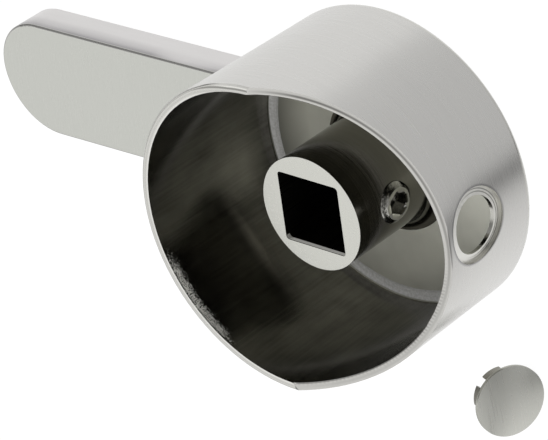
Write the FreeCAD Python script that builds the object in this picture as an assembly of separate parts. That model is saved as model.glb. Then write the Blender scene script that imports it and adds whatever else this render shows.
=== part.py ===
# Replacement lever handle for a basin mixer tap, cast in one piece, with its grub screw
# and the snap-in plug that hides the screw's hole, shown taken off and lying beside it.
# The handle lies on its closed face with the stem socket upwards. Its origin is on the
# stem axis at the closed face, +Z runs out of the open skirt and +X along the lever.
# All sizes are in millimetres.
import FreeCAD, Part
import math
import os

# Skirt: a thin round wall, as cast, that leans out a little towards its rim
closed_radius = 19.4          # outside radius at the closed face
rim_radius = 19.82            # outside radius at the rim
rim_height = 23.4             # closed face to rim, on the lever side
skirt_wall = 0.97
skirt_shift_x = 0.2           # the cast skirt's axis stands this far off the stem axis,
skirt_shift_y = 0.25          # which the boss and the floor were turned about
closed_edge_round = 0.9       # polished edge round the closed face
rim_edge_bevel = 0.2          # broken outer edge of the rim

# Floor inside the skirt, faced on a lathe
floor_height = 2.3
groove_radius = 18.5          # outside of the ring turned at the foot of the wall
groove_width = 1.45
groove_depth = 0.2
groove_flank = 0.45           # width of each of its sloping sides

# Stem boss in the middle of the floor
boss_radius = 7.24
boss_height = 16.5            # closed face to the end of the boss
root_radius = 8.95            # collar at the boss's foot
root_step = 0.25              # height of the collar's edge, from where it curves in to the boss

# Square stem socket
socket_side = 9.0
socket_corner = 0.45
socket_depth = 11.5
socket_turn = -1.0            # degrees that the square is turned from the lever's line

# Relief milled off the rim opposite the lever, so that the handle can tilt on its tap
relief_start = 0.25           # where along the lever's line the relief begins
relief_slope = 26.7           # degrees below the rim where it begins
relief_arc = 160.0            # radius of its long hollow curve
relief_bevel = 0.12           # bevel on its inner edge

# Lever
lever_width = 15.1
lever_thickness = 5.05
lever_reach = 60.85           # stem axis to the tip
lever_crown_shift = 0.7       # the rounded tip's crown lies this much off the middle line
lever_edge_round = 0.3

# Grub screw in the side of the boss
screw_height = 10.0           # its axis above the closed face
screw_radius = 2.5
screw_length = 3.1
screw_set_back = 0.1          # inner end behind the wall of the socket, backed out
screw_hex = 2.5               # across the flats of its hexagon socket
screw_hex_depth = 1.6
screw_chamfer = 0.55
screw_cup_radius = 1.25       # hollow in the inner end, whose rim bites into the stem
screw_cup_depth = 0.6
thread_clearance = 0.03
thread_mouth = 0.15           # countersink round the threaded hole

# Hole in the skirt that the key for the grub screw goes through, and its plug's seat
key_hole_radius = 3.45
seat_radius = 4.55
seat_depth = 0.45             # measured in from the skirt's outside

# Plug
plug_clearance = 0.1          # between the plug's disc and its seat
finger_clearance = 0.08       # between the fingers' root and the key hole
plug_edge = 0.45              # thickness of the disc at its edge
plug_crown = 0.45             # rise of its domed face
finger_count = 6
finger_wall = 0.4
finger_reach = 2.3
finger_spread = 0.1           # how far the sprung ends stand out past their root
finger_lean = 0.8             # how much of the reach leans outwards, before it runs straight
finger_gap = 20.0             # degrees between two fingers
finger_turn = 42.0            # degrees from the plug's lowest point to the middle of a finger
plug_x = -15.24               # where the disc's middle lies
plug_y = 27.55
plug_heading = 183.6          # degrees from the lever's line to the way that the face looks

overrun = 1.0                 # how far a cutter reaches past what it cuts
tolerance = 1e-3              # two places nearer than this are one

UP = FreeCAD.Vector(0, 0, 1)
AXIS_X = FreeCAD.Vector(1, 0, 0)
ORIGIN = FreeCAD.Vector(0, 0, 0)
SKIRT_PLACE = FreeCAD.Vector(skirt_shift_x, skirt_shift_y, 0)


def point(x, z):
    """A point in the upright plane through the stem axis and the lever's middle line."""
    return FreeCAD.Vector(x, 0, z)


def line(start, end):
    return Part.LineSegment(start, end).toShape()


def arc(start, middle, end):
    return Part.Arc(start, middle, end).toShape()


def solid_of_turning(edges):
    """Turn a closed outline in the upright plane round the stem axis."""
    face = Part.Face(Part.Wire(edges))
    return face.revolve(ORIGIN, UP, 360)


def rounding(centre, start, end):
    """The short way round from start to end about a centre, both being as far from it."""
    outwards = (start - centre) + (end - centre)
    outwards.Length = start.distanceToPoint(centre)
    return arc(start, centre + outwards, end)


def skirt_radius_at(height):
    """Outside radius of the skirt at a height above the closed face."""
    return closed_radius + (rim_radius - closed_radius) * height / rim_height


def cast_skirt():
    """Skirt and floor, turned about the skirt's own axis."""
    foot_side = point(skirt_radius_at(closed_edge_round), closed_edge_round)
    foot_centre = foot_side + point(-closed_edge_round, 0)
    foot_under = foot_centre + point(0, -closed_edge_round)
    rim_side = point(skirt_radius_at(rim_height - rim_edge_bevel), rim_height - rim_edge_bevel)
    rim_top = rim_side + point(-rim_edge_bevel, rim_edge_bevel)
    rim_inside = point(rim_radius - skirt_wall, rim_height)
    wall_foot = point(skirt_radius_at(floor_height) - skirt_wall, floor_height)
    floor_middle = point(0, floor_height)
    skirt = solid_of_turning([
        line(ORIGIN, foot_under),
        rounding(foot_centre, foot_under, foot_side),
        line(foot_side, rim_side),
        line(rim_side, rim_top),
        line(rim_top, rim_inside),
        line(rim_inside, wall_foot),
        line(wall_foot, floor_middle),
        line(floor_middle, ORIGIN),
    ])
    skirt.translate(SKIRT_PLACE)
    return skirt


def boss():
    """Boss and the collar at its foot, turned about the stem axis."""
    collar_foot = point(root_radius, floor_height / 2)
    collar_edge = point(root_radius, floor_height + root_step)
    flare = root_radius - boss_radius
    boss_foot = collar_edge + point(-flare, flare)
    flare_centre = collar_edge + point(0, flare)
    boss_edge = point(boss_radius, boss_height)
    boss_middle = point(0, boss_height)
    inside_floor = point(0, floor_height / 2)
    return solid_of_turning([
        line(inside_floor, collar_foot),
        line(collar_foot, collar_edge),
        rounding(flare_centre, collar_edge, boss_foot),
        line(boss_foot, boss_edge),
        line(boss_edge, boss_middle),
        line(boss_middle, inside_floor),
    ])


def groove():
    """Ring turned into the floor about the stem axis, as far as the skirt's wall lets it."""
    outer = point(groove_radius, floor_height)
    inner = point(groove_radius - groove_width, floor_height)
    outer_foot = outer + point(-groove_flank, -groove_depth)
    inner_foot = inner + point(groove_flank, -groove_depth)
    ring = solid_of_turning([
        line(outer, outer_foot),
        line(outer_foot, inner_foot),
        line(inner_foot, inner),
        line(inner, outer),
    ])
    foot_radius = skirt_radius_at(floor_height) - skirt_wall
    inside_wall = Part.makeCylinder(foot_radius, floor_height, SKIRT_PLACE, UP)
    return ring.common(inside_wall)


def lever():
    """Flat blade whose rounded tip is two quarter rounds that meet at the crown."""
    half = lever_width / 2
    crown = FreeCAD.Vector(lever_reach, -lever_crown_shift, 0)
    wide_centre = crown - AXIS_X * (half + lever_crown_shift)
    narrow_centre = crown - AXIS_X * (half - lever_crown_shift)
    wide_end = FreeCAD.Vector(wide_centre.x, half, 0)
    narrow_end = FreeCAD.Vector(narrow_centre.x, -half, 0)
    root = FreeCAD.Vector(boss_radius, half, 0)
    other_root = FreeCAD.Vector(boss_radius, -half, 0)
    outline = Part.Wire([
        line(root, wide_end),
        rounding(wide_centre, wide_end, crown),
        rounding(narrow_centre, crown, narrow_end),
        line(narrow_end, other_root),
        line(other_root, root),
    ])
    blade = Part.Face(outline).extrude(UP * lever_thickness)
    edges = [edge for edge in blade.Edges if is_level(edge) and not is_at_root(edge)]
    return blade.makeFillet(lever_edge_round, edges)


def is_level(edge):
    return edge.BoundBox.ZLength < tolerance


def is_at_root(edge):
    return edge.BoundBox.XMax < boss_radius + tolerance


def skirt_cavity():
    """The open space inside the skirt that the lever's root is trimmed by."""
    foot = point(skirt_radius_at(floor_height) - skirt_wall, floor_height)
    mouth = point(rim_radius - skirt_wall, rim_height)
    cavity = solid_of_turning([
        line(point(0, floor_height), foot),
        line(foot, mouth),
        line(mouth, point(0, rim_height)),
        line(point(0, rim_height), point(0, floor_height)),
    ])
    cavity.translate(SKIRT_PLACE)
    return cavity


def stem_socket():
    """Blind square hole down from the boss's end, with its corners rounded."""
    half = socket_side / 2
    corner = FreeCAD.Vector(-half, -half, boss_height - socket_depth)
    box = Part.makeBox(socket_side, socket_side, socket_depth, corner)
    upright = [edge for edge in box.Edges if edge.BoundBox.ZLength > socket_depth / 2]
    box = box.makeFillet(socket_corner, upright)
    box.rotate(ORIGIN, UP, socket_turn)
    return box


def rim_relief():
    """Everything above the long hollow curve, right across the skirt."""
    slope = math.radians(relief_slope)
    start = point(relief_start, rim_height)
    centre = start + point(-relief_arc * math.sin(slope), relief_arc * math.cos(slope))
    reach = rim_radius + SKIRT_PLACE.Length + overrun
    far_x = -reach
    far_sine = (centre.x - far_x) / relief_arc
    middle_x = (relief_start + far_x) / 2
    middle_sine = (centre.x - middle_x) / relief_arc
    middle = point(middle_x, centre.z - relief_arc * math.sqrt(1 - middle_sine ** 2))
    far = point(far_x, centre.z - relief_arc * math.sqrt(1 - far_sine ** 2))
    over = rim_height + overrun
    outline = Part.Wire([
        arc(start, middle, far),
        line(far, point(far_x, over)),
        line(point(far_x, over), point(relief_start, over)),
        line(point(relief_start, over), start),
    ])
    face = Part.Face(outline)
    face.translate(FreeCAD.Vector(0, -reach, 0))
    return face.extrude(FreeCAD.Vector(0, 2 * reach, 0))


def is_inside_relief_edge(edge):
    """True for an edge where the relief cuts the inside of the skirt's wall."""
    for fraction in (0.25, 0.5, 0.75):
        spot = edge.valueAt(edge.FirstParameter + fraction * (edge.LastParameter - edge.FirstParameter))
        inside = skirt_radius_at(spot.z) - skirt_wall
        off_axis = spot - SKIRT_PLACE
        on_wall = abs(math.hypot(off_axis.x, off_axis.y) - inside) < tolerance
        if not on_wall or spot.z < floor_height + tolerance or spot.z > rim_height - tolerance:
            return False
    return True


def bevel_relief(body):
    edges = [edge for edge in body.Edges if is_inside_relief_edge(edge)]
    return body.makeChamfer(relief_bevel, edges)


def rod_along_lever(radius, x_from, x_to, height):
    start = FreeCAD.Vector(x_from, 0, height)
    return Part.makeCylinder(radius, x_to - x_from, start, AXIS_X)


def threaded_hole():
    """Cross hole from the boss's side into the socket, countersunk at its mouth."""
    radius = screw_radius + thread_clearance
    hole = rod_along_lever(radius, -boss_radius - overrun, 0, screw_height)
    mouth_start = FreeCAD.Vector(-boss_radius - thread_clearance, 0, screw_height)
    mouth = Part.makeCone(radius + thread_mouth, radius, thread_mouth, mouth_start, AXIS_X)
    return hole.fuse(mouth)


def key_hole():
    """Hole through the skirt, with a seat that follows the skirt's round outside."""
    outside_x = -rim_radius - SKIRT_PLACE.Length - overrun
    inside_x = -(boss_radius + closed_radius) / 2
    hole = rod_along_lever(key_hole_radius, outside_x, inside_x, screw_height)
    seat = rod_along_lever(seat_radius, outside_x, inside_x, screw_height)
    foot = point(closed_radius - seat_depth, 0)
    top = point(rim_radius - seat_depth, rim_height)
    inside = solid_of_turning([
        line(ORIGIN, foot),
        line(foot, top),
        line(top, point(0, rim_height)),
        line(point(0, rim_height), ORIGIN),
    ])
    inside.translate(SKIRT_PLACE)
    return hole.fuse(seat.cut(inside))


def handle():
    blade = lever().cut(skirt_cavity())
    body = cast_skirt().fuse(boss()).fuse(blade).removeSplitter()
    body = body.cut(groove())
    body = bevel_relief(body.cut(rim_relief()))
    body = body.cut(stem_socket())
    body = body.cut(threaded_hole())
    return body.cut(key_hole())


def grub_screw():
    """Hexagon socket grub screw with a cup point, both ends of its thread chamfered."""
    inner_x = -socket_side / 2 - screw_set_back
    outer_x = inner_x - screw_length
    screw = rod_along_lever(screw_radius, outer_x, inner_x, screw_height)
    ends = [edge for edge in screw.Edges if edge.BoundBox.XLength < tolerance]
    screw = screw.makeChamfer(screw_chamfer, ends)
    corner = screw_hex / math.sqrt(3)
    corners = []
    for step in range(7):
        angle = math.radians(60 * step)
        across = corner * math.cos(angle)
        corners.append(FreeCAD.Vector(outer_x, across, screw_height + corner * math.sin(angle)))
    socket = Part.Face(Part.makePolygon(corners)).extrude(AXIS_X * screw_hex_depth)
    cup_point = FreeCAD.Vector(inner_x, 0, screw_height)
    cup = Part.makeCone(screw_cup_radius, 0, screw_cup_depth, cup_point, -AXIS_X)
    return screw.cut(socket).cut(cup)


def plug_disc(radius):
    """Domed disc, turned round its own axis, with its flat back at height 0."""
    dome_radius = (radius ** 2 + plug_crown ** 2) / (2 * plug_crown)
    top = point(0, plug_edge + plug_crown)
    centre = top - UP * dome_radius
    return solid_of_turning([
        line(ORIGIN, point(radius, 0)),
        line(point(radius, 0), point(radius, plug_edge)),
        rounding(centre, point(radius, plug_edge), top),
        line(top, ORIGIN),
    ])


def plug_fingers(root):
    """Sprung ring behind the disc, leaning out and then straight, slotted into fingers."""
    inside_disc = plug_edge / 2
    outside = [
        point(root, inside_disc),
        point(root, 0),
        point(root + finger_spread, -finger_lean),
        point(root + finger_spread, -finger_reach),
    ]
    wall = point(-finger_wall, 0)
    inside = [corner + wall for corner in reversed(outside)]
    outline = Part.makePolygon(outside + inside + outside[:1])
    ring = Part.Face(outline).revolve(ORIGIN, UP, 360)
    pitch = 360.0 / finger_count
    slot_foot = point(0, -finger_reach - overrun)
    for number in range(finger_count):
        slot = Part.makeCylinder(2 * root, finger_reach + overrun, slot_foot, UP, finger_gap)
        slot.rotate(ORIGIN, UP, finger_turn + pitch * (number + 0.5) - finger_gap / 2)
        ring = ring.cut(slot)
    return ring


def plug():
    """The plug as it lies on the table: on its disc's edge and the end of one finger."""
    radius = seat_radius - plug_clearance
    root = key_hole_radius - finger_clearance
    body = plug_disc(radius).fuse(plug_fingers(root))
    tilt = math.degrees(math.atan((radius - root - finger_spread) / finger_reach))
    lift = radius * math.cos(math.radians(tilt))
    body.rotate(ORIGIN, FreeCAD.Vector(0, 1, 0), 90 - tilt)
    body.rotate(ORIGIN, UP, plug_heading)
    body.translate(FreeCAD.Vector(plug_x, plug_y, lift))
    return body


def main():
    os.makedirs("parts", exist_ok=True)
    pieces = {"handle": handle(), "grub_screw": grub_screw(), "hole_plug": plug()}
    for name, shape in pieces.items():
        shape.exportStep("parts/" + name + ".step")
        box = shape.BoundBox
        print(name, "solids", len(shape.Solids), "valid", shape.isValid(), "volume", round(shape.Volume, 2))
        print("  from", round(box.XMin, 2), round(box.YMin, 2), round(box.ZMin, 2),
              "to", round(box.XMax, 2), round(box.YMax, 2), round(box.ZMax, 2))


main()
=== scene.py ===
import math

import bmesh
import bpy
from mathutils import Matrix, Vector


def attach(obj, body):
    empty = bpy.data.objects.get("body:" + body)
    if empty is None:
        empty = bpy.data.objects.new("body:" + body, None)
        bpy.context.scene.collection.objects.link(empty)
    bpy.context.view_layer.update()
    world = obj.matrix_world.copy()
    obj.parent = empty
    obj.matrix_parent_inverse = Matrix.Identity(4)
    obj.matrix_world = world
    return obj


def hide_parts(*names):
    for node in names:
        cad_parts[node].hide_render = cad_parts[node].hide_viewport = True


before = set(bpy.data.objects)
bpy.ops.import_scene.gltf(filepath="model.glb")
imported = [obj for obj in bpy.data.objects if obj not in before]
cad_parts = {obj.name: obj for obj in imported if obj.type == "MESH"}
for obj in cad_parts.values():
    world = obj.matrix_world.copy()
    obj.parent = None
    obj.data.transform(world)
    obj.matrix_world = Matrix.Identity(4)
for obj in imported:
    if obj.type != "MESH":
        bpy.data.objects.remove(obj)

# The replacement tap handle lies on its closed face, and its plug lies beside it.
# Lengths below are in millimetres and angles in degrees, in the CAD's own frame, unless a
# comment says otherwise. Blender's metres come in through MM alone, and radians through DEGREE.
MM = 0.001
DEGREE = math.radians(1)
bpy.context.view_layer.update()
TOUCHING = 0.02               # two places nearer than this are one
DOUBLES = 0.0002              # corners of loose triangles nearer than this are merged
SEAM = 0.001                  # and corners of the screw nearer than this
UP = Vector((0, 0, 1))
ALONG = Vector((1, 0, 0))     # along the lever
FACING = 0.7                  # least share of a normal along a way for a face that looks that way
FLAT = 0.99                   # and for a face that looks straight that way

# Camera: the photograph's place and roll, aimed at a point inside the skirt
CAMERA_PLACE = (-284.05, -216.97, 305.46)
CAMERA_RIGHT = (-0.7497, 0.1397, -0.6469)
CAMERA_FORWARD = (0.6247, 0.4721, -0.6220)
CAMERA_LENS = 263.4
SENSOR_WIDTH = 36.0
NEAR_CLIP = 10
FAR_CLIP = 20000

# Skirt, as the CAD has it
SKIRT_X = 0.2
SKIRT_Y = 0.25
CLOSED_RADIUS = 19.4
RIM_RADIUS = 19.82
RIM_HEIGHT = 23.4
SKIRT_WALL = 0.97
CLOSED_EDGE_ROUND = 0.9
RIM_EDGE_BEVEL = 0.2
SKIRT_LEAN = math.atan((RIM_RADIUS - CLOSED_RADIUS) / RIM_HEIGHT)
SKIRT_AXIS = Vector((SKIRT_X, SKIRT_Y, 0))

# How far the belt made the skirt lean sideways above the key hole, and between which heights
SKIRT_SINK = 0.08
SINK_FROM = 9
SINK_TO = 15

# Relief milled off the rim
RELIEF_START = 0.25
RELIEF_SLOPE = 26.7 * DEGREE
RELIEF_ARC = 160.0
RELIEF_CENTRE_X = RELIEF_START - RELIEF_ARC * math.sin(RELIEF_SLOPE)
RELIEF_CENTRE_Z = RIM_HEIGHT + RELIEF_ARC * math.cos(RELIEF_SLOPE)
RELIEF_LOWEST = 13.5          # the relief lies higher than this
RELIEF_UPWARD = 0.8           # least upward share of the relief's own normal
BEVEL_UPWARD = 0.3            # and of the bevels' beside it
CHATTER_STEP = 0.48           # between the marks that the cutter left on its inner edge
RIM_SHADE_SHIFT = 0.4          # how far the rim's painted edge shade moves inwards beside it

# Lever, floor and boss
LEVER_THICKNESS = 5.05
LEVER_EDGE_UPWARD = 0.05      # least upward share of a normal on the lever's broken inner edge
FLOOR_HEIGHT = 2.3
GROOVE_OUTER = 18.5
GROOVE_INNER = 17.05
GROOVE_DEPTH = 0.2
BOSS_RADIUS = 7.24
BOSS_HEIGHT = 16.5
ROOT_RADIUS = 8.95
FLARE = ROOT_RADIUS - BOSS_RADIUS
FLARE_HEIGHT = FLOOR_HEIGHT + 0.25 + FLARE

# Key hole in the skirt and the plug's seat
SCREW_HEIGHT = 10.0
KEY_HOLE_RADIUS = 3.45
SEAT_RADIUS = 4.55
HOLE_MIDDLE = Vector((0, 0, SCREW_HEIGHT))

# Grub screw, M5
SCREW_OUTER = -7.7            # where its outer end is along the lever's line
SCREW_INNER = -4.6
THREAD_RADIUS = 2.5
THREAD_PITCH = 0.8
THREAD_DEPTH = 0.49
THREAD_ROOT = 0.06            # the groove's flat bottom, as a share of the pitch from its middle
THREAD_CREST = 0.42           # where the flank ends and the flat crest begins
SCREW_FACE_RADIUS = 1.95
HEX_FLATS = 2.5
HEX_MOUTH = 1.55              # radius of the broken edge round the hexagon
HEX_MOUTH_DEPTH = 0.12
HEX_DEPTH = 1.6
HEX_POINT_DEPTH = 1.9
CUP_RADIUS = 1.25
CUP_DEPTH = 0.6
STEPS_AROUND = 96
STEPS_ALONG = 93
SHARP_EDGE = 28 * DEGREE      # the screw's faces that meet at more than this stay sharp

# Plug
PLUG_RADIUS = 4.45
PLUG_EDGE = 0.45
PLUG_CROWN = 0.45
PLUG_EDGE_ROLL = 0.6          # how far its broken edge leans towards the face, where 1 is halfway
FINGER_ROOT = 3.37
FINGER_SPREAD = 0.1
FINGER_REACH = 2.3
PLUG_TILT = math.atan((PLUG_RADIUS - FINGER_ROOT - FINGER_SPREAD) / FINGER_REACH)
PLUG_PLACE = Vector((-15.24, 27.55, PLUG_RADIUS * math.cos(PLUG_TILT)))
PLUG_TURN = (
    Matrix.Rotation(183.6 * DEGREE, 4, "Z") @ Matrix.Rotation(math.pi / 2 - PLUG_TILT, 4, "Y"))

# Pale rough patch inside the mouth: its share by the angle round the stem axis and by
# its height under the rim, and the way its pits lean
ROUGH_TURN = ((14, 0), (27, 1), (53, 1), (66, 0))
ROUGH_HEIGHT = ((-2, 0), (-0.8, 0.9), (-0.3, 1), (-0.1, 0.7))
ROUGH_LEAN = (-0.55, -0.4, 0.75)

# Light tent: azimuth from the lever's line and brightness of its panels, low and high
LOW_PANELS = (
    (-180, 0.7), (-110, 0.74), (-84, 0.8), (-73, 1.0), (0, 1.05), (60, 1.05), (100, 1.0),
    (141, 0.8), (155, 0.56), (159, 0.2), (165, 0.1), (169, 0.42), (174, 0.66), (180, 0.7),
)
HIGH_PANELS = (
    (-180, 0.45), (-100, 0.45), (-60, 0.7), (-48, 0.4), (-20, 0.3), (0, 0.75), (12, 1.0), (60, 1.0),
    (100, 1.0), (125, 1.1), (150, 0.8), (165, 0.65), (180, 0.45),
)
# Sines of the height over the horizon between which the low panels give way to the high ones
LOW_ENDS = -0.4
HIGH_BEGINS = 0.0
# Share of the light by the same sine: a dark gap between table and tent, and a bright lamp overhead
TENT_LEVELS = (
    (-1, 1.0), (0.03, 1.0), (0.12, 0.4), (0.22, 0.25), (0.3, 1.0), (0.92, 1.0), (0.96, 2.4), (1, 2.4),
)

# White sheet under the handle: half its side, how far it lies below, and how it glows in the photo
SHEET_HALF = 3000
SHEET_BELOW = 0.05
SHEET_GLOW = 1.08
SHEET_GLOW_SHARE = 0.9

# Noise keeps mostly between these two values
NOISE_LOW = 0.3
NOISE_HIGH = 0.7


def linear(hex_colour):
    """An sRGB hex colour as the linear red, green, blue and alpha that the shaders take."""
    shares = [int(hex_colour[place:place + 2], 16) / 255 for place in (1, 3, 5)]
    return tuple(((s + 0.055) / 1.055) ** 2.4 if s > 0.04045 else s / 12.92 for s in shares) + (1.0,)


def add_node(tree, kind, settings=None, links=None):
    """Add a node, set its properties and unlinked inputs, and link sockets into its inputs.

    A node given in a socket's place gives its first output.
    """
    node = tree.nodes.new(kind)
    for name, value in (settings or {}).items():
        if isinstance(name, str) and hasattr(node, name):
            setattr(node, name, value)
        else:
            node.inputs[name].default_value = value
    for name, source in (links or {}).items():
        socket = source if isinstance(source, bpy.types.NodeSocket) else source.outputs[0]
        tree.links.new(socket, node.inputs[name])
    return node


def new_material(name):
    """An empty node material and its tree."""
    material = bpy.data.materials.new(name)
    material.use_nodes = True
    material.node_tree.nodes.clear()
    return material, material.node_tree


def new_finish(name):
    """An empty node material, its tree and the Object coordinates that its patterns read."""
    material, tree = new_material(name)
    return material, tree, add_node(tree, "ShaderNodeTexCoord").outputs["Object"]


def grains(tree, place, size_mm, detail=3.0):
    """Noise whose grains measure size_mm along each axis of the given place."""
    scale = [1 / (MM * size) for size in size_mm]
    scaled = add_node(tree, "ShaderNodeMapping", {"Scale": scale}, {"Vector": place})
    return add_node(tree, "ShaderNodeTexNoise", {"Scale": 1.0, "Detail": detail}, {"Vector": scaled})


def metal(tree, colours, roughness, pattern, depth, stretch=0.0, way=None, mask=None, masked=None):
    """A metal with two colours, two roughnesses and a relief so many millimetres deep, by a pattern.

    Its gloss may be stretched across the way of its brushed lines. Where a mask is 1 it has the
    masked colour. A mix node's colours are its inputs 6 and 7 and its output 2.
    """
    dark, pale = [linear(colour) for colour in colours]
    shade = add_node(tree, "ShaderNodeMix", {"data_type": "RGBA", 6: dark, 7: pale}, {0: pattern})
    if mask:
        shade = add_node(
            tree, "ShaderNodeMix", {"data_type": "RGBA", 7: linear(masked)}, {0: mask, 6: shade.outputs[2]})
    rough = add_node(
        tree, "ShaderNodeMapRange",
        {"From Min": NOISE_LOW, "From Max": NOISE_HIGH, "To Min": roughness[0], "To Max": roughness[1]},
        {"Value": pattern})
    relief = add_node(tree, "ShaderNodeBump", {"Distance": depth * MM}, {"Height": pattern})
    quarter_turn = 0.25
    shader = add_node(
        tree, "ShaderNodeBsdfPrincipled",
        {"Metallic": 1.0, "Anisotropic": stretch, "Anisotropic Rotation": quarter_turn},
        {"Base Color": shade.outputs[2], "Roughness": rough, "Normal": relief})
    if way:
        tree.links.new(way, shader.inputs["Tangent"])
    add_node(tree, "ShaderNodeOutputMaterial", links={"Surface": shader})
    return shader


def lean(tree, shader, mask, way, roughness):
    """Where a mask is 1, lean the surface the given way and set its roughness.

    A mix node's vectors are its inputs 4 and 5 and its output 1, and its numbers 2, 3 and 0.
    """
    normal = shader.inputs["Normal"].links[0].from_socket
    gloss = shader.inputs["Roughness"].links[0].from_socket
    leaning = add_node(tree, "ShaderNodeMix", {"data_type": "VECTOR", 5: way}, {0: mask, 4: normal})
    unit = add_node(tree, "ShaderNodeVectorMath", {"operation": "NORMALIZE"}, {0: leaning.outputs[1]})
    dulled = add_node(tree, "ShaderNodeMix", {3: roughness}, {0: mask, 2: gloss})
    tree.links.new(unit.outputs[0], shader.inputs["Normal"])
    tree.links.new(dulled.outputs[0], shader.inputs["Roughness"])


def stepped(tree, measure, stops, start=0, unit=MM):
    """A number that runs through (measure, value) stops, joined by lines.

    The stops are counted from the start, in millimetres or in another unit of the measure.
    """
    first, last = stops[0][0], stops[-1][0]
    spot = add_node(
        tree, "ShaderNodeMapRange",
        {"From Min": (start + first) * unit, "From Max": (start + last) * unit}, {"Value": measure})
    ramp = add_node(tree, "ShaderNodeValToRGB", links={0: spot})
    points = ramp.color_ramp.elements
    points.remove(points[-1])
    for number, (at, value) in enumerate(stops):
        position = (at - first) / (last - first)
        point = points.new(position) if number else points[0]
        point.position = position
        point.color = (value, value, value, 1)
    return ramp.outputs[0]


def where_all(tree, *shares):
    """The product of all the given shares, which is 1 only where each of them is 1."""
    whole = shares[0]
    for share in shares[1:]:
        whole = add_node(tree, "ShaderNodeMath", {"operation": "MULTIPLY"}, {0: whole, 1: share})
    return whole


def distance_from_line(tree, place, on_line, along):
    """How far each place is from a line through a point, along a unit way."""
    offset = add_node(tree, "ShaderNodeVectorMath", {"operation": "SUBTRACT", 1: on_line * MM}, {0: place})
    across = add_node(tree, "ShaderNodeVectorMath", {"operation": "CROSS_PRODUCT", 1: along}, {0: offset})
    return add_node(tree, "ShaderNodeVectorMath", {"operation": "LENGTH"}, {0: across}).outputs["Value"]


def round_the_stem(tree, place):
    """The way round the stem axis at each place, which turning and brushing followed."""
    way = add_node(tree, "ShaderNodeVectorMath", {"operation": "CROSS_PRODUCT", 0: UP}, {1: place})
    return way.outputs[0]


def azimuth_of(tree, parts):
    """The angle of a place or a way round the stem axis, in radians, from its parts."""
    return add_node(
        tree, "ShaderNodeMath", {"operation": "ARCTAN2"}, {0: parts.outputs["Y"], 1: parts.outputs["X"]})


def skirt_finish():
    """Satin nickel plate, brushed round the skirt on a belt: soft lines and a stretched gloss.

    The real lines, here and on the lever, are finer than a pixel, so they are drawn a pixel wide.
    """
    material, tree, place = new_finish("satin_nickel_brushed_round")
    parts = add_node(tree, "ShaderNodeSeparateXYZ", links={0: place})
    hole_side = stepped(tree, parts.outputs["X"], ((-1, 1), (0, 0)))
    from_hole = distance_from_line(tree, place, HOLE_MIDDLE, ALONG)
    # Painted shade: a soft dark ring drawn on the skirt round the seat's edge, on the key hole's side only.
    ring = stepped(tree, from_hole, ((0, 0.75), (0.12, 0.45), (0.3, 0)), SEAT_RADIUS)
    shader = metal(
        tree, ("#d2d1ce", "#d5d4d1"), (0.26, 0.32), grains(tree, place, (9, 9, 0.12)), 0.0006,
        0.85, round_the_stem(tree, place), where_all(tree, ring, hole_side), "#77767a")
    sunk = stepped(tree, parts.outputs["Z"], ((SINK_FROM, 0), (SINK_TO, SKIRT_SINK)))
    lean(tree, shader, where_all(tree, hole_side, sunk), (0, -1, 0), 0.3)
    return material


def lever_finish():
    """Satin nickel plate, brushed across the lever: fine short lines and a stretched gloss."""
    material, tree, place = new_finish("satin_nickel_brushed_across")
    across = add_node(tree, "ShaderNodeCombineXYZ", {"Y": 1.0}).outputs[0]
    lines = grains(tree, place, (0.09, 8, 0.09))
    metal(tree, ("#c3c4be", "#cbccc6"), (0.25, 0.43), lines, 0.003, 0.6, across)
    return material


def lever_side_finish():
    """Satin nickel plate, brushed along the sides; painted shade darkens it in patches towards the inner
    edge.
    """
    material, tree, place = new_finish("satin_nickel_brushed_along")
    parts = add_node(tree, "ShaderNodeSeparateXYZ", links={0: place})
    # Painted shade: darker in patches towards the inner edge.
    edge = stepped(tree, parts.outputs["Z"], ((-2.6, 0), (-1, 0.45), (-0.2, 1)), LEVER_THICKNESS)
    patches = grains(tree, place, (14, 14, 30), 0.0)
    shade_patches = add_node(tree, "ShaderNodeMapRange", {"From Min": 0.3, "From Max": 0.6}, {"Value": patches})
    lines = grains(tree, place, (8, 8, 0.12))
    metal(
        tree, ("#d4d2d1", "#dad8d7"), (0.28, 0.42), lines, 0.002,
        mask=where_all(tree, edge, shade_patches), masked="#8e8c8e")
    return material


def shaded_edge_finish():
    """Broken inner edge of the lever: a soft dark line, painted darker for the dark band that it reflects.
    """
    material, tree, place = new_finish("nickel_edge_painted_dark")
    metal(tree, ("#b3b2af", "#bdbcb9"), (0.22, 0.3), grains(tree, place, (3, 3, 1)), 0.001)
    return material


def beside_relief(tree, place):
    """1 on the lever's side of the rim just before the relief begins, and 0 further off."""
    parts = add_node(tree, "ShaderNodeSeparateXYZ", links={0: place})
    near = stepped(tree, parts.outputs["X"], ((0, 1), (3, 1), (9, 0)), RELIEF_START)
    on_rim = stepped(tree, parts.outputs["Z"], ((-2, 0), (-1, 1)), RIM_HEIGHT)
    blade_side = stepped(tree, parts.outputs["Y"], ((-6, 1), (0, 0)))
    return where_all(tree, near, on_rim, blade_side)


def edge_finish():
    """Nickel plate over an edge that was broken by hand and polished: smooth and bright."""
    material, tree, place = new_finish("nickel_polished_edge")
    shader = metal(tree, ("#c6c5c0", "#cecdc9"), (0.2, 0.28), grains(tree, place, (3, 3, 1)), 0.001)
    lean(tree, shader, beside_relief(tree, place), UP, 0.3)
    return material


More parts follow.
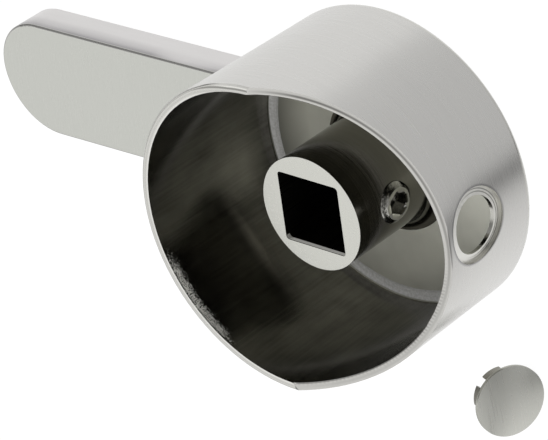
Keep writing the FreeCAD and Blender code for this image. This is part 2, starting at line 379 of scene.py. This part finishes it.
def rim_finish():
    """Nickel plate over the rim, faced on a lathe: pale and matt, with painted shade by its rounded outer
    edge.
    """
    material, tree, place = new_finish("nickel_over_faced_rim")
    from_axis = distance_from_line(tree, place, SKIRT_AXIS, UP)
    shade_radius = add_node(
        tree, "ShaderNodeMath", {"operation": "MULTIPLY_ADD", 1: RIM_SHADE_SHIFT * MM},
        {0: beside_relief(tree, place), 2: from_axis})
    # Painted shade: a grey band and a dark line near the rounded outer edge, moved inwards beside the
    # relief.
    rings = stepped(tree, shade_radius, (
        (-SKIRT_WALL, 0.05), (-0.82, 0.05), (-0.69, 0.3), (-0.55, 0.4), (-0.42, 0.3), (-0.32, 0.25),
        (-0.2, 0.9), (-0.06, 0.9), (0.06, 0), (0.5, 0)), RIM_RADIUS)
    metal(
        tree, ("#e0dfda", "#e6e5e0"), (0.22, 0.34), grains(tree, place, (0.5, 0.5, 2)), 0.002,
        mask=rings, masked="#83827e")
    return material


def relief_finish():
    """Zinc alloy milled after casting and plated thinly: greyer, with marks of the cutter.

    A dark line along its middle is a painted reflection; it is darkest towards -Y and fades where
    the relief begins. The cutter's chatter shows along the inner edge on one side.
    """
    material, tree, place = new_finish("zinc_alloy_milled")
    parts = add_node(tree, "ShaderNodeSeparateXYZ", links={0: place})
    from_axis = distance_from_line(tree, place, SKIRT_AXIS, UP)
    # Painted reflection: a dark line along the middle of the relief.
    reflection_line = where_all(
        tree,
        stepped(tree, from_axis, (
            (-0.96, 0.2), (-0.88, 0), (-0.72, 0.1), (-0.6, 0.9), (-0.46, 1), (-0.3, 0.2), (-0.1, 0.1)),
            RIM_RADIUS),
        stepped(tree, parts.outputs["Y"], ((-18, 1), (-9, 0.8), (0, 0.6), (8, 0.3), (18, 0.2))),
        stepped(tree, parts.outputs["X"], ((-5, 1), (-1, 0.3), (RELIEF_START, 0.1))))
    turn = add_node(
        tree, "ShaderNodeMath", {"operation": "MULTIPLY", 1: 2 * RIM_RADIUS / CHATTER_STEP},
        {0: azimuth_of(tree, parts)})
    teeth = add_node(tree, "ShaderNodeMath", {"operation": "PINGPONG", 1: 1.0}, {0: turn})
    chatter = where_all(
        tree, teeth, stepped(tree, from_axis, ((-0.9, 1), (-0.78, 1), (-0.4, 0)), RIM_RADIUS),
        grains(tree, place, (1, 1, 1)),
        stepped(tree, parts.outputs["Y"], ((2, 0), (6, 1), (13, 1), (18, 0.4))))
    reflection_and_chatter = add_node(tree, "ShaderNodeMath", {"operation": "MAXIMUM"}, {0: reflection_line, 1: chatter})
    metal(
        tree, ("#b6b5b1", "#c3c2be"), (0.3, 0.42), grains(tree, place, (0.25, 2, 0.25)), 0.006,
        mask=reflection_and_chatter, masked="#6a6966")
    return material


def wall_finish():
    """Nickel plate straight over the bare casting: dim, partly as painted shade, glossy, with drag lines and
    pits.

    A rough patch inside the mouth is pale, with coarser pits, and its normals lean one way.
    """
    material, tree, place = new_finish("nickel_over_bare_casting")
    parts = add_node(tree, "ShaderNodeSeparateXYZ", links={0: place})
    clouds = add_node(
        tree, "ShaderNodeMath", {"operation": "MULTIPLY", 1: 0.65}, {0: grains(tree, place, (4, 4, 5), 4.0)})
    drag = add_node(
        tree, "ShaderNodeMath", {"operation": "MULTIPLY_ADD", 1: 0.35},
        {0: grains(tree, place, (0.4, 0.4, 9)), 2: clouds})
    patch = where_all(
        tree, stepped(tree, parts.outputs["Z"], ROUGH_HEIGHT, RIM_HEIGHT),
        stepped(tree, azimuth_of(tree, parts), ROUGH_TURN, unit=DEGREE))
    pits = add_node(
        tree, "ShaderNodeMath", {"operation": "MULTIPLY_ADD", 1: 0.42},
        {0: patch, 2: grains(tree, place, (0.1, 0.1, 0.15), 1.0)})
    pitted = add_node(tree, "ShaderNodeMapRange", {"From Min": 0.83, "From Max": 0.92}, {"Value": pits})
    shader = metal(
        tree, ("#24231f", "#a3a198"), (0.13, 0.2), drag, 0.008, mask=pitted, masked="#d4d3cc")
    lean(tree, shader, pitted, ROUGH_LEAN, 0.5)
    return material


def floor_finish():
    """Nickel plate over a floor faced on a lathe: half matt grey, with painted shade by the wall on the
    lever's side.
    """
    material, tree, place = new_finish("nickel_over_turned_floor")
    parts = add_node(tree, "ShaderNodeSeparateXYZ", links={0: place})
    # Painted shade: darker towards the corner with the wall, on the lever's side.
    corner_shade = stepped(tree, parts.outputs["X"], ((12, 0), (GROOVE_INNER, 1)))
    shader = metal(
        tree, ("#dfdfd3", "#e7e7db"), (0.34, 0.44), grains(tree, place, (1.2, 1.2, 1)), 0.001,
        0.3, round_the_stem(tree, place), corner_shade, "#98988f")
    shader.inputs["Metallic"].default_value = 0.65
    return material


def groove_finish():
    """Groove left rough by a chattering tool: duller than the floor beside it, and paler, partly by painted
    light.
    """
    material, tree, place = new_finish("nickel_over_chattered_groove")
    pits = grains(tree, place, (0.3, 0.3, 0.3), 1.0)
    # Partly painted light: a near-white, almost unmetallic colour brightens the groove beyond its rough
    # nickel.
    shader = metal(tree, ("#c6c5be", "#ffffff"), (0.5, 0.62), pits, 0.04)
    shader.inputs["Metallic"].default_value = 0.05
    return material


def seat_finish():
    """Counterbored ledge round the key hole: pale, matt, with rings from the cutter's teeth drawn dark on
    its lower part.
    """
    material, tree, place = new_finish("nickel_over_counterbore")
    parts = add_node(tree, "ShaderNodeSeparateXYZ", links={0: place})
    rings = stepped(tree, distance_from_line(tree, place, HOLE_MIDDLE, ALONG), (
        (0, 0), (0.3, 0), (0.38, 0.9), (0.48, 0), (0.64, 0), (0.72, 0.9), (0.82, 0), (1.1, 0)),
        KEY_HOLE_RADIUS)
    # Partly painted shade: the cutter's rings are real, but drawn dark only on the lower part, where they
    # lie in shade.
    lower = stepped(tree, parts.outputs["Z"], ((-1.5, 1), (2, 0)), SCREW_HEIGHT)
    metal(
        tree, ("#ecebe6", "#f6f5f0"), (0.36, 0.46), grains(tree, place, (0.4, 0.4, 0.4)), 0.004,
        mask=where_all(tree, rings, lower), masked="#55544f")
    return material


def bore_finish():
    """Drilled wall of the key hole and its seat: darker, with fine feed lines."""
    material, tree, place = new_finish("nickel_over_drilled_hole")
    metal(tree, ("#b5b4ae", "#c6c5bf"), (0.12, 0.22), grains(tree, place, (0.12, 4, 4)), 0.004)
    return material


def boss_finish():
    """Nickel plate over the turned boss: dim mirror with fine rings, painted shade dimming it towards its
    end.
    """
    material, tree, place = new_finish("nickel_over_turned_boss")
    parts = add_node(tree, "ShaderNodeSeparateXYZ", links={0: place})
    # Painted shade: darker towards the boss's end.
    end_shade = stepped(tree, parts.outputs["Z"], ((-6, 0), (-3, 0.8), (0, 1)), BOSS_HEIGHT)
    metal(
        tree, ("#7d7b73", "#929088"), (0.08, 0.18), grains(tree, place, (30, 30, 0.22)), 0.005,
        0.5, round_the_stem(tree, place), end_shade, "#6b6962")
    return material


def boss_end_finish():
    """Nickel plate over the faced end of the boss: even, pale and matt."""
    material, tree, place = new_finish("nickel_over_faced_end")
    metal(tree, ("#cbcbc4", "#d3d3cc"), (0.25, 0.35), grains(tree, place, (0.4, 0.4, 2)), 0.002)
    return material


def socket_finish():
    """Broached hole, scored along the tool's way, and dark: painted shade deep inside it.

    Its mouth has a small bright broken edge on one side.
    """
    material, tree, place = new_finish("broached_socket_painted_dark")
    parts = add_node(tree, "ShaderNodeSeparateXYZ", links={0: place})
    mouth = stepped(tree, parts.outputs["Z"], ((-0.66, 0), (-0.58, 1), (-0.14, 1), (-0.06, 0)), BOSS_HEIGHT)
    strip = where_all(tree, mouth, stepped(tree, parts.outputs["Y"], ((3.9, 0), (4.2, 1))))
    # Painted shade: dark colours for the deep hole; the strip at the mouth has the plain nickel colour.
    shader = metal(
        tree, ("#3a3833", "#55534b"), (0.25, 0.45), grains(tree, place, (0.2, 0.2, 5)), 0.008,
        mask=strip, masked="#d9d8d2")
    lean(tree, shader, strip, (0, -0.5, 0.87), 0.3)
    return material


def handle_finishes():
    """One finish for each region of the handle, in the order of the mesh's material slots."""
    return {
        "skirt": skirt_finish(),
        "edge": edge_finish(),
        "lever": lever_finish(),
        "lever_side": lever_side_finish(),
        "lever_edge": shaded_edge_finish(),
        "rim": rim_finish(),
        "relief": relief_finish(),
        "wall": wall_finish(),
        "floor": floor_finish(),
        "groove": groove_finish(),
        "seat": seat_finish(),
        "bore": bore_finish(),
        "boss": boss_finish(),
        "boss_end": boss_end_finish(),
        "socket": socket_finish(),
    }


def skirt_radius_at(height):
    """The skirt's outer radius at a height."""
    return CLOSED_RADIUS + (RIM_RADIUS - CLOSED_RADIUS) * height / RIM_HEIGHT


def skirt_depth(place):
    """How far a place is inside the skirt's outer face, measured along its floor."""
    return skirt_radius_at(place.z) - math.hypot(place.x - SKIRT_X, place.y - SKIRT_Y)


def relief_height(x):
    """The relief's height at a place along the lever's line."""
    return RELIEF_CENTRE_Z - math.sqrt(RELIEF_ARC ** 2 - (x - RELIEF_CENTRE_X) ** 2)


def handle_region(corners, normal):
    """Which finish a triangle of the handle has, from its corners and its normal."""
    stem_radii = [math.hypot(p.x, p.y) for p in corners]
    hole_radii = [math.hypot(p.y, p.z - SCREW_HEIGHT) for p in corners]
    depths = [skirt_depth(p) for p in corners]
    low = min(p.z for p in corners)
    high = max(p.z for p in corners)
    far_x = max(p.x for p in corners)
    if max(stem_radii) < ROOT_RADIUS + TOUCHING and high > FLOOR_HEIGHT + TOUCHING:
        if low > BOSS_HEIGHT - TOUCHING:
            return "boss_end"
        return "boss" if min(stem_radii) > BOSS_RADIUS - TOUCHING else "socket"
    inside = min(depths) > SKIRT_WALL / 2
    if inside and low > FLOOR_HEIGHT - GROOVE_DEPTH - TOUCHING and high < FLOOR_HEIGHT + TOUCHING:
        on_ring = min(stem_radii) > GROOVE_INNER - TOUCHING and max(stem_radii) < GROOVE_OUTER + TOUCHING
        return "groove" if on_ring and low < FLOOR_HEIGHT - TOUCHING else "floor"
    if low > FLOOR_HEIGHT - TOUCHING and all(abs(depth - SKIRT_WALL) < TOUCHING for depth in depths):
        return "wall"
    if far_x < -CLOSED_RADIUS / 2 and max(hole_radii) < SEAT_RADIUS + TOUCHING:
        return "seat" if abs(normal.x) > FACING else "bore"
    if all(abs(depth) < TOUCHING for depth in depths) and low > CLOSED_EDGE_ROUND - TOUCHING:
        return "skirt"
    if low > RIM_HEIGHT - TOUCHING:
        return "rim"
    if low > RIM_HEIGHT - RIM_EDGE_BEVEL - TOUCHING:
        return "edge"
    if low > RELIEF_LOWEST and normal.z > BEVEL_UPWARD and far_x < RELIEF_START + TOUCHING:
        return "relief"
    if far_x > CLOSED_RADIUS or high < TOUCHING:
        if abs(normal.z) > FLAT:
            return "lever"
        return "lever_edge" if normal.z > LEVER_EDGE_UPWARD else "lever_side"
    return "edge"


def handle_normal(region, place, normal):
    """The true normal of a turned or milled surface, at a triangle's corner."""
    radial = Vector((place.x - SKIRT_X, place.y - SKIRT_Y, 0)).normalized()
    outwards = radial * math.cos(SKIRT_LEAN) - UP * math.sin(SKIRT_LEAN)
    if region == "wall":
        return -outwards
    if region in ("skirt", "seat"):
        return outwards
    if region in ("rim", "boss_end", "floor"):
        return UP.copy()
    if region == "relief" and abs(relief_height(place.x) - place.z) < TOUCHING and normal.z > RELIEF_UPWARD:
        return Vector((RELIEF_CENTRE_X - place.x, 0, RELIEF_CENTRE_Z - place.z)).normalized()
    if region == "boss":
        away = Vector((place.x, place.y, 0)).normalized()
        if place.z > FLARE_HEIGHT - TOUCHING:
            return away
        if place.z > FLARE_HEIGHT - FLARE + TOUCHING:
            return (away * ROOT_RADIUS + UP * FLARE_HEIGHT - place).normalized()
    if region == "edge" and place.z > RIM_HEIGHT - RIM_EDGE_BEVEL - TOUCHING:
        return UP.copy() if place.z > RIM_HEIGHT - TOUCHING else outwards
    return normal


def dressed(node, name, finishes, region_of, exact_normal):
    """A copy of a CAD node with its doubles merged, its true normals and its finishes."""
    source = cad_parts[node].data
    order = list(finishes)
    work = bmesh.new()
    work.from_mesh(source)
    kept_normal = work.loops.layers.float_vector.new("kept_normal")
    for face, polygon in zip(work.faces, source.polygons):
        corners = [corner.vert.co / MM for corner in face.loops]
        region = region_of(corners, polygon.normal)
        face.material_index = order.index(region)
        face.smooth = True
        for corner, place, index in zip(face.loops, corners, polygon.loop_indices):
            normal = source.corner_normals[index].vector.copy()
            corner[kept_normal] = exact_normal(region, place, normal)
    bmesh.ops.remove_doubles(work, verts=work.verts, dist=DOUBLES * MM)
    normals = [corner[kept_normal].copy() for face in work.faces for corner in face.loops]
    work.loops.layers.float_vector.remove(kept_normal)
    mesh = bpy.data.meshes.new(name)
    work.to_mesh(mesh)
    work.free()
    for finish in finishes.values():
        mesh.materials.append(finish)
    mesh.normals_split_custom_set(normals)
    placed(mesh, name, node)


def placed(mesh, name, node):
    """Put a finished mesh in the scene in the place of a CAD node."""
    piece = bpy.data.objects.new(name, mesh)
    bpy.context.scene.collection.objects.link(piece)
    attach(piece, "root")
    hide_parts(node)


def new_geometry_tree(name, inputs):
    """A geometry node tree with number inputs of the given names, and the sockets that give them."""
    tree = bpy.data.node_groups.new(name, "GeometryNodeTree")
    for label, value in inputs.items():
        kind = "NodeSocketInt" if isinstance(value, int) else "NodeSocketFloat"
        tree.interface.new_socket(label, in_out="INPUT", socket_type=kind)
    tree.interface.new_socket("Geometry", in_out="OUTPUT", socket_type="NodeSocketGeometry")
    return tree, add_node(tree, "NodeGroupInput").outputs


def mesh_from_tree(tree, inputs, name):
    """Run a tree with its inputs set and keep the result as a plain mesh."""
    maker = bpy.data.objects.new(name + "_maker", bpy.data.meshes.new(name + "_seed"))
    bpy.context.scene.collection.objects.link(maker)
    modifier = maker.modifiers.new("nodes", "NODES")
    modifier.node_group = tree
    sockets = {item.name: item.identifier for item in tree.interface.items_tree if item.in_out == "INPUT"}
    for label, value in inputs.items():
        modifier[sockets[label]] = value
    mesh = bpy.data.meshes.new_from_object(maker.evaluated_get(bpy.context.evaluated_depsgraph_get()))
    mesh.name = name
    maker.modifiers.remove(modifier)
    bpy.data.objects.remove(maker)
    return mesh


def thread_tree(inputs, material):
    """Sleeve of screw thread: a grid rolled round the screw's axis and pushed out by its helix.

    The sleeve is cut at both ends by a cone, as the screw's ends are chamfered.
    """
    tree, given = new_geometry_tree("screw_thread", inputs)
    grid = add_node(
        tree, "GeometryNodeMeshGrid", {"Size X": 1.0, "Size Y": 1.0},
        {"Vertices X": given["Around"], "Vertices Y": given["Along"]})
    spot = add_node(
        tree, "ShaderNodeSeparateXYZ", links={0: add_node(tree, "GeometryNodeInputPosition")})
    share_round = add_node(tree, "ShaderNodeMath", {"operation": "ADD", 1: 0.5}, {0: spot.outputs["X"]})
    share_along = add_node(tree, "ShaderNodeMath", {"operation": "ADD", 1: 0.5}, {0: spot.outputs["Y"]})
    run = add_node(tree, "ShaderNodeMath", {"operation": "MULTIPLY"}, {0: share_along, 1: given["Length"]})
    turns = add_node(tree, "ShaderNodeMath", {"operation": "DIVIDE"}, {0: run, 1: given["Pitch"]})
    helix = add_node(tree, "ShaderNodeMath", {"operation": "SUBTRACT"}, {0: turns, 1: share_round})
    flank = add_node(tree, "ShaderNodeMath", {"operation": "PINGPONG", 1: 0.5}, {0: helix})
    crest = add_node(
        tree, "ShaderNodeMapRange", {"From Min": THREAD_ROOT, "From Max": THREAD_CREST}, {"Value": flank})
    core = add_node(
        tree, "ShaderNodeMath", {"operation": "SUBTRACT"}, {0: given["Radius"], 1: given["Depth"]})
    thread = add_node(
        tree, "ShaderNodeMath", {"operation": "MULTIPLY_ADD"}, {0: crest, 1: given["Depth"], 2: core})
    left = add_node(tree, "ShaderNodeMath", {"operation": "SUBTRACT"}, {0: given["Length"], 1: run})
    nearer = add_node(tree, "ShaderNodeMath", {"operation": "MINIMUM"}, {0: run, 1: left})
    cone = add_node(tree, "ShaderNodeMath", {"operation": "ADD"}, {0: nearer, 1: given["Face Radius"]})
    radius = add_node(tree, "ShaderNodeMath", {"operation": "MINIMUM"}, {0: thread, 1: cone})
    angle = add_node(tree, "ShaderNodeMath", {"operation": "MULTIPLY", 1: 2 * math.pi}, {0: share_round})
    cosine = add_node(tree, "ShaderNodeMath", {"operation": "COSINE"}, {0: angle})
    sine = add_node(tree, "ShaderNodeMath", {"operation": "SINE"}, {0: angle})
    x = add_node(tree, "ShaderNodeMath", {"operation": "ADD"}, {0: run, 1: given["Start"]})
    y = add_node(tree, "ShaderNodeMath", {"operation": "MULTIPLY"}, {0: radius, 1: cosine})
    z = add_node(
        tree, "ShaderNodeMath", {"operation": "MULTIPLY_ADD"}, {0: radius, 1: sine, 2: given["Height"]})
    rolled = add_node(tree, "ShaderNodeCombineXYZ", links={"X": x, "Y": y, "Z": z})
    moved = add_node(tree, "GeometryNodeSetPosition", links={"Geometry": grid, "Position": rolled})
    real = add_node(tree, "GeometryNodeRealizeInstances", links={0: moved})
    plated = add_node(tree, "GeometryNodeSetMaterial", {"Material": material}, {"Geometry": real})
    add_node(tree, "NodeGroupOutput", links={"Geometry": plated})
    return tree


def screw_finish():
    """Bright zinc plated steel: a hard mirror gloss with a little haze."""
    material, tree, place = new_finish("steel_bright_plated")
    metal(tree, ("#d5d4ce", "#e6e5df"), (0.08, 0.16), grains(tree, place, (0.5, 0.5, 0.5)), 0.002)
    return material


def punched_finish():
    """Hexagon punched into the steel, its darker colour painted shade inside the socket."""
    material, tree, place = new_finish("steel_punched_dark")
    metal(tree, ("#7d7c76", "#c9c8c2"), (0.1, 0.25), grains(tree, place, (0.3, 0.3, 0.3)), 0.03)
    return material


def hex_radius(angle):
    """Distance from a hexagon's middle to its side, at an angle."""
    sixth = math.pi / 3
    return HEX_FLATS / 2 / math.cos((angle % sixth) - sixth / 2)


def grub_screw():
    """Threaded grub screw with its hexagon socket outwards and its cup point inwards."""
    material = screw_finish()
    inputs = {
        "Around": STEPS_AROUND + 1, "Along": STEPS_ALONG + 1,
        "Length": (SCREW_INNER - SCREW_OUTER) * MM, "Pitch": THREAD_PITCH * MM,
        "Radius": THREAD_RADIUS * MM, "Depth": THREAD_DEPTH * MM, "Face Radius": SCREW_FACE_RADIUS * MM,
        "Start": SCREW_OUTER * MM, "Height": SCREW_HEIGHT * MM,
    }
    work = bmesh.new()
    work.from_mesh(mesh_from_tree(thread_tree(inputs, material), inputs, "screw_thread"))
    angles = [2 * math.pi * step / STEPS_AROUND for step in range(STEPS_AROUND)]

    def ring(x, radius_at):
        """Corners round the screw's axis, at the radius that each angle has."""
        spots = [(radius_at(a) * math.cos(a), radius_at(a) * math.sin(a)) for a in angles]
        return [work.verts.new(Vector((x, y, SCREW_HEIGHT + rise)) * MM) for y, rise in spots]

    def skin(rings, point_x, finishes):
        """Faces from ring to ring and on to a point on the axis, each band with its finish."""
        for first, second, finish in zip(rings, rings[1:], finishes):
            for step in range(STEPS_AROUND):
                after = (step + 1) % STEPS_AROUND
                side = work.faces.new((first[step], first[after], second[after], second[step]))
                side.material_index = finish
        point = work.verts.new(Vector((point_x, 0, SCREW_HEIGHT)) * MM)
        for step in range(STEPS_AROUND):
            side = work.faces.new((rings[-1][step], rings[-1][(step + 1) % STEPS_AROUND], point))
            side.material_index = finishes[-1]

    skin([
        ring(SCREW_OUTER, lambda a: SCREW_FACE_RADIUS),
        ring(SCREW_OUTER, lambda a: HEX_MOUTH),
        ring(SCREW_OUTER + HEX_MOUTH_DEPTH, hex_radius),
        ring(SCREW_OUTER + HEX_DEPTH, hex_radius),
        ring(SCREW_OUTER + HEX_DEPTH, lambda a: HEX_FLATS / 2 - TOUCHING),
    ], SCREW_OUTER + HEX_POINT_DEPTH, (0, 0, 1, 1, 1))
    skin([
        ring(SCREW_INNER, lambda a: SCREW_FACE_RADIUS),
        ring(SCREW_INNER, lambda a: CUP_RADIUS),
    ], SCREW_INNER - CUP_DEPTH, (0, 0))
    bmesh.ops.remove_doubles(work, verts=work.verts, dist=SEAM * MM)
    bmesh.ops.recalc_face_normals(work, faces=work.faces)
    mesh = bpy.data.meshes.new("threaded_grub_screw")
    work.to_mesh(mesh)
    work.free()
    mesh.materials.append(material)
    mesh.materials.append(punched_finish())
    mesh.shade_smooth()
    mesh.set_sharp_from_angle(angle=SHARP_EDGE)
    placed(mesh, "threaded_grub_screw", "grub_screw")


def new_plug_finish(name):
    """An empty node material, its tree and the plug's own coordinates: Z runs along its axis."""
    material, tree, place = new_finish(name)
    turned = add_node(
        tree, "ShaderNodeMapping",
        {"vector_type": "TEXTURE", "Location": PLUG_PLACE * MM, "Rotation": PLUG_TURN.to_euler()},
        {"Vector": place})
    return material, tree, turned


def plug_face_finish():
    """Satin nickel plate on pressed sheet, brushed across the face: soft lines, stretched gloss."""
    material, tree, place = new_plug_finish("satin_nickel_plug_face")
    across = PLUG_TURN.to_3x3() @ Vector((0, 1, 0))
    way = add_node(tree, "ShaderNodeCombineXYZ", dict(zip("XYZ", across))).outputs[0]
    metal(tree, ("#cfcfc8", "#d3d3cc"), (0.26, 0.32), grains(tree, place, (0.2, 5, 5)), 0.0007, 0.5, way)
    return material


def plug_edge_finish():
    """Sheared and tumbled edge of the pressing: smooth and a little darker."""
    material, tree, place = new_plug_finish("nickel_tumbled_edge")
    metal(tree, ("#a7a79f", "#b8b8b0"), (0.2, 0.3), grains(tree, place, (1, 1, 0.2)), 0.002)
    return material


def plug_finger_finish():
    """Sprung fingers of the pressing, with drawing rings round them: dim grey steel."""
    material, tree, place = new_plug_finish("spring_steel_drawn")
    metal(tree, ("#67655c", "#a3a198"), (0.25, 0.4), grains(tree, place, (4, 4, 0.16)), 0.02)
    return material


def in_plug(place):
    """A place in the plug's own frame."""
    return PLUG_TURN.transposed() @ (place - PLUG_PLACE)


def plug_region(corners, normal):
    """Which finish a triangle of the plug has."""
    spots = [in_plug(p) for p in corners]
    low = min(s.z for s in spots)
    facing = PLUG_TURN.to_3x3().transposed() @ normal
    if low > PLUG_EDGE - TOUCHING and facing.z > FACING:
        return "face"
    if low > -TOUCHING and min(math.hypot(s.x, s.y) for s in spots) > FINGER_ROOT + TOUCHING:
        return "edge"
    return "finger"


def plug_normal(region, place, normal):
    """The dome's true normal, and an edge that looks broken."""
    spot = in_plug(place)
    if region == "face":
        dome = (PLUG_RADIUS ** 2 + PLUG_CROWN ** 2) / (2 * PLUG_CROWN)
        away = spot - UP * (PLUG_EDGE + PLUG_CROWN - dome)
    elif region == "edge" and spot.z > PLUG_EDGE - TOUCHING:
        away = Vector((spot.x, spot.y, 0)).normalized() + UP * PLUG_EDGE_ROLL
    else:
        return normal
    return (PLUG_TURN.to_3x3() @ away).normalized()


def hole_plug():
    """Domed snap-in plug with its three finishes."""
    finishes = {"face": plug_face_finish(), "edge": plug_edge_finish(), "finger": plug_finger_finish()}
    dressed("hole_plug", "snap_in_plug", finishes, plug_region, plug_normal)


def camera():
    """The photograph's camera."""
    data = bpy.data.cameras.new("camera")
    data.sensor_width = SENSOR_WIDTH
    data.lens = CAMERA_LENS
    data.clip_start = NEAR_CLIP * MM
    data.clip_end = FAR_CLIP * MM
    forward = Vector(CAMERA_FORWARD).normalized()
    right = Vector(CAMERA_RIGHT)
    right = (right - forward * right.dot(forward)).normalized()
    place = Matrix((right, right.cross(forward), -forward)).transposed().to_4x4()
    place.translation = Vector(CAMERA_PLACE) * MM
    eye = bpy.data.objects.new("camera", data)
    eye.matrix_world = place
    bpy.context.scene.collection.objects.link(eye)
    bpy.context.scene.camera = eye


def floor():
    """Plain white floor that shows a faint shadow and no reflection of itself in the metal."""
    material, tree = new_material("white_paper_floor")
    seen = add_node(tree, "ShaderNodeLightPath")
    lit = add_node(tree, "ShaderNodeBsdfDiffuse", {"Color": (1, 1, 1, 1)})
    white = add_node(tree, "ShaderNodeEmission", {"Color": (1, 1, 1, 1), "Strength": SHEET_GLOW})
    share = add_node(
        tree, "ShaderNodeMath", {"operation": "MULTIPLY", 1: SHEET_GLOW_SHARE},
        {0: seen.outputs["Is Camera Ray"]})
    both = add_node(tree, "ShaderNodeMixShader", links={0: share, 1: lit, 2: white})
    add_node(tree, "ShaderNodeOutputMaterial", links={"Surface": both})
    sides = ((-1, -1), (1, -1), (1, 1), (-1, 1))
    corners = [Vector((x * SHEET_HALF, y * SHEET_HALF, -SHEET_BELOW)) * MM for x, y in sides]
    mesh = bpy.data.meshes.new("floor")
    mesh.from_pydata(corners, [], [(0, 1, 2, 3)])
    mesh.materials.append(material)
    sheet = bpy.data.objects.new("floor", mesh)
    bpy.context.scene.collection.objects.link(sheet)
    sheet.visible_glossy = False


def studio():
    """Light tent: white paper panels behind and beside the handle, dimmer ones near the camera."""
    world = bpy.data.worlds.new("light_tent")
    bpy.context.scene.world = world
    world.use_nodes = True
    tree = world.node_tree
    tree.nodes.clear()
    way = add_node(tree, "ShaderNodeTexCoord").outputs["Generated"]
    parts = add_node(tree, "ShaderNodeSeparateXYZ", links={0: way})
    azimuth = azimuth_of(tree, parts)
    low = stepped(tree, azimuth, LOW_PANELS, unit=DEGREE)
    high = stepped(tree, azimuth, HIGH_PANELS, unit=DEGREE)
    rise = add_node(
        tree, "ShaderNodeMapRange",
        {"interpolation_type": "SMOOTHSTEP", "From Min": LOW_ENDS, "From Max": HIGH_BEGINS},
        {"Value": parts.outputs["Z"]})
    both = add_node(tree, "ShaderNodeMix", {"data_type": "RGBA"}, {0: rise, 6: low, 7: high})
    share = stepped(tree, parts.outputs["Z"], TENT_LEVELS, unit=1)
    glow = add_node(tree, "ShaderNodeBackground", links={"Color": both.outputs[2], "Strength": share})
    add_node(tree, "ShaderNodeOutputWorld", links={"Surface": glow})


bpy.context.scene.view_settings.view_transform = "Standard"
camera()
floor()
studio()
dressed("handle", "tap_handle", handle_finishes(), handle_region, handle_normal)
grub_screw()
hole_plug()
